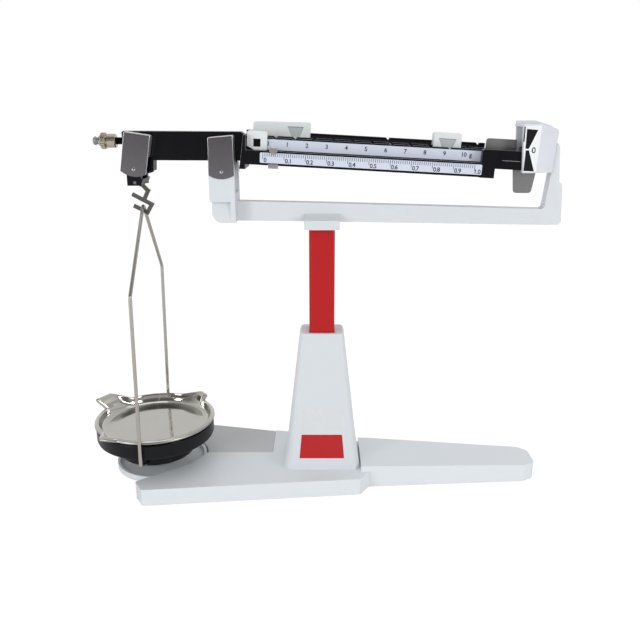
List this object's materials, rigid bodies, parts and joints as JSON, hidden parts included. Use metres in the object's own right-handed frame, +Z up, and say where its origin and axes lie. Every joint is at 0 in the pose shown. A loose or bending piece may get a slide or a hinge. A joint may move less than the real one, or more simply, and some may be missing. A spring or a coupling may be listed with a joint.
{
  "type": "quadruple beam balance",
  "caption": "Laboratory beam balance with four notched and sliding rails, knife-edge pivots, magnetic damper, post on a Y-shaped base and a hanging pan",
  "frame": {"origin": "middle of the balance's reach seen from above, on the table under the rubber feet", "axes": "+X along the beam towards the index, +Y to the rear, +Z up"},
  "size_m": [0.3776, 0.1233, 0.2932],
  "materials": {
    "grey_enamel": "pale blue-grey enamel, semi-gloss",
    "panel_grey": "mid-grey painted sheet, satin",
    "rubber_black": "black moulded rubber",
    "zinc_steel": "zinc-plated screws",
    "red_enamel": "deep red enamel, gloss",
    "agate": "polished agate",
    "cover_steel": "brushed stainless sheet",
    "housing_white": "white-grey enamel",
    "index_white": "white printed sheet",
    "magnet_dark": "sintered ferrite",
    "beam_black": "black enamel, semi-gloss, on cast aluminium",
    "knife_steel": "hardened ground steel",
    "scale_pale": "pale blue-white anodised scale",
    "vane_aluminium": "rolled aluminium, satin",
    "rod_black": "blackened threaded steel",
    "nickel": "nickel-plated brass, knurled",
    "poise_white": "white enamel on die casting",
    "rider_steel": "bent stainless strip",
    "stirrup_black": "black enamel",
    "wire_steel": "drawn steel wire",
    "holder_black": "black moulded plastic",
    "pan_steel": "polished stainless sheet"
  },
  "bodies": {
    "stand": {"base_casting": "grey_enamel", "base_panel": "panel_grey", "rubber_feet": "rubber_black", "base_screws": "zinc_steel", "pedestal": "grey_enamel", "post": "red_enamel", "post_screws": "zinc_steel", "bracket": "grey_enamel", "fulcrum_bearings": "agate", "fulcrum_cover_front": "cover_steel", "fulcrum_cover_rear": "cover_steel", "index_housing": "housing_white", "index_plate": "index_white", "housing_screws": "zinc_steel", "damper_magnets": "magnet_dark"},
    "beam": {"beam_casting": "beam_black", "fulcrum_knife": "knife_steel", "pan_knife": "knife_steel", "scale_1g": "scale_pale", "scale_10g": "scale_pale", "scale_100g": "scale_pale", "scale_200g": "scale_pale", "damping_vane": "vane_aluminium", "adjuster_rod": "rod_black"},
    "zero_sleeve_body": {"zero_sleeve": "nickel"},
    "zero_knob_body": {"zero_knob": "nickel"},
    "poise_200_body": {"poise_200g": "poise_white"},
    "poise_100_body": {"poise_100g": "poise_white"},
    "poise_10_body": {"poise_10g": "poise_white"},
    "rider_body": {"rider_1g": "rider_steel"},
    "stirrup_body": {"stirrup": "stirrup_black", "stirrup_bearings": "agate", "stirrup_cover_front": "cover_steel", "stirrup_cover_rear": "cover_steel", "hook_pin": "knife_steel"},
    "hook_body": {"hook": "wire_steel"},
    "hanger": {"bow_wire": "wire_steel", "pan_holder": "holder_black"},
    "pan_body": {"pan": "pan_steel"}
  },
  "joints": [
    {"name": "beam_swing", "type": "hinge", "parent": "stand", "child": "beam", "pos_m": [-0.06622, -0.00675, 0.2572], "axis": [0, -1, 0], "range_deg": [0, 4.4]},
    {"name": "zero_travel", "type": "slide", "parent": "beam", "child": "zero_sleeve_body", "axis": [1, 0, 0], "range_m": [-0.0014, 0.0014]},
    {"name": "zero_turn", "type": "hinge", "parent": "zero_sleeve_body", "child": "zero_knob_body", "pos_m": [-0.15552, -0.00675, 0.2787], "axis": [1, 0, 0], "range_deg": [-720, 720]},
    {"name": "poise_200_slide", "type": "slide", "parent": "beam", "child": "poise_200_body", "axis": [0.9985, 0, -0.0544], "range_m": [0, 0.1378]},
    {"name": "poise_100_slide", "type": "slide", "parent": "beam", "child": "poise_100_body", "axis": [0.9985, 0, -0.0544], "range_m": [-0.1296, 0.0144]},
    {"name": "poise_10_slide", "type": "slide", "parent": "beam", "child": "poise_10_body", "axis": [0.9985, 0, -0.0544], "range_m": [0, 0.144]},
    {"name": "rider_slide", "type": "slide", "parent": "beam", "child": "rider_body", "axis": [0.9985, 0, -0.0544], "range_m": [-0.0073, 0.148]},
    {"name": "stirrup_swing", "type": "hinge", "parent": "beam", "child": "stirrup_body", "pos_m": [-0.13182, -0.00675, 0.2587], "axis": [0, -1, 0], "range_deg": [-5.5, 5.5]},
    {"name": "hook_swing", "type": "hinge", "parent": "stirrup_body", "child": "hook_body", "pos_m": [-0.13182, -0.00675, 0.2489], "axis": [0, -1, 0], "range_deg": [-4, 4]},
    {"name": "hanger_swing", "type": "hinge", "parent": "hook_body", "child": "hanger", "pos_m": [-0.12982, -0.00675, 0.23], "axis": [0, -1, 0], "range_deg": [-4.6, 4.6]},
    {"name": "pan_lift", "type": "slide", "parent": "hanger", "child": "pan_body", "axis": [0, 0, 1], "range_m": [0, 0.05]}
  ],
  "couplings": [
    {"joint": "zero_turn", "follows": "zero_travel", "rad_per_m": 8976}
  ]
}
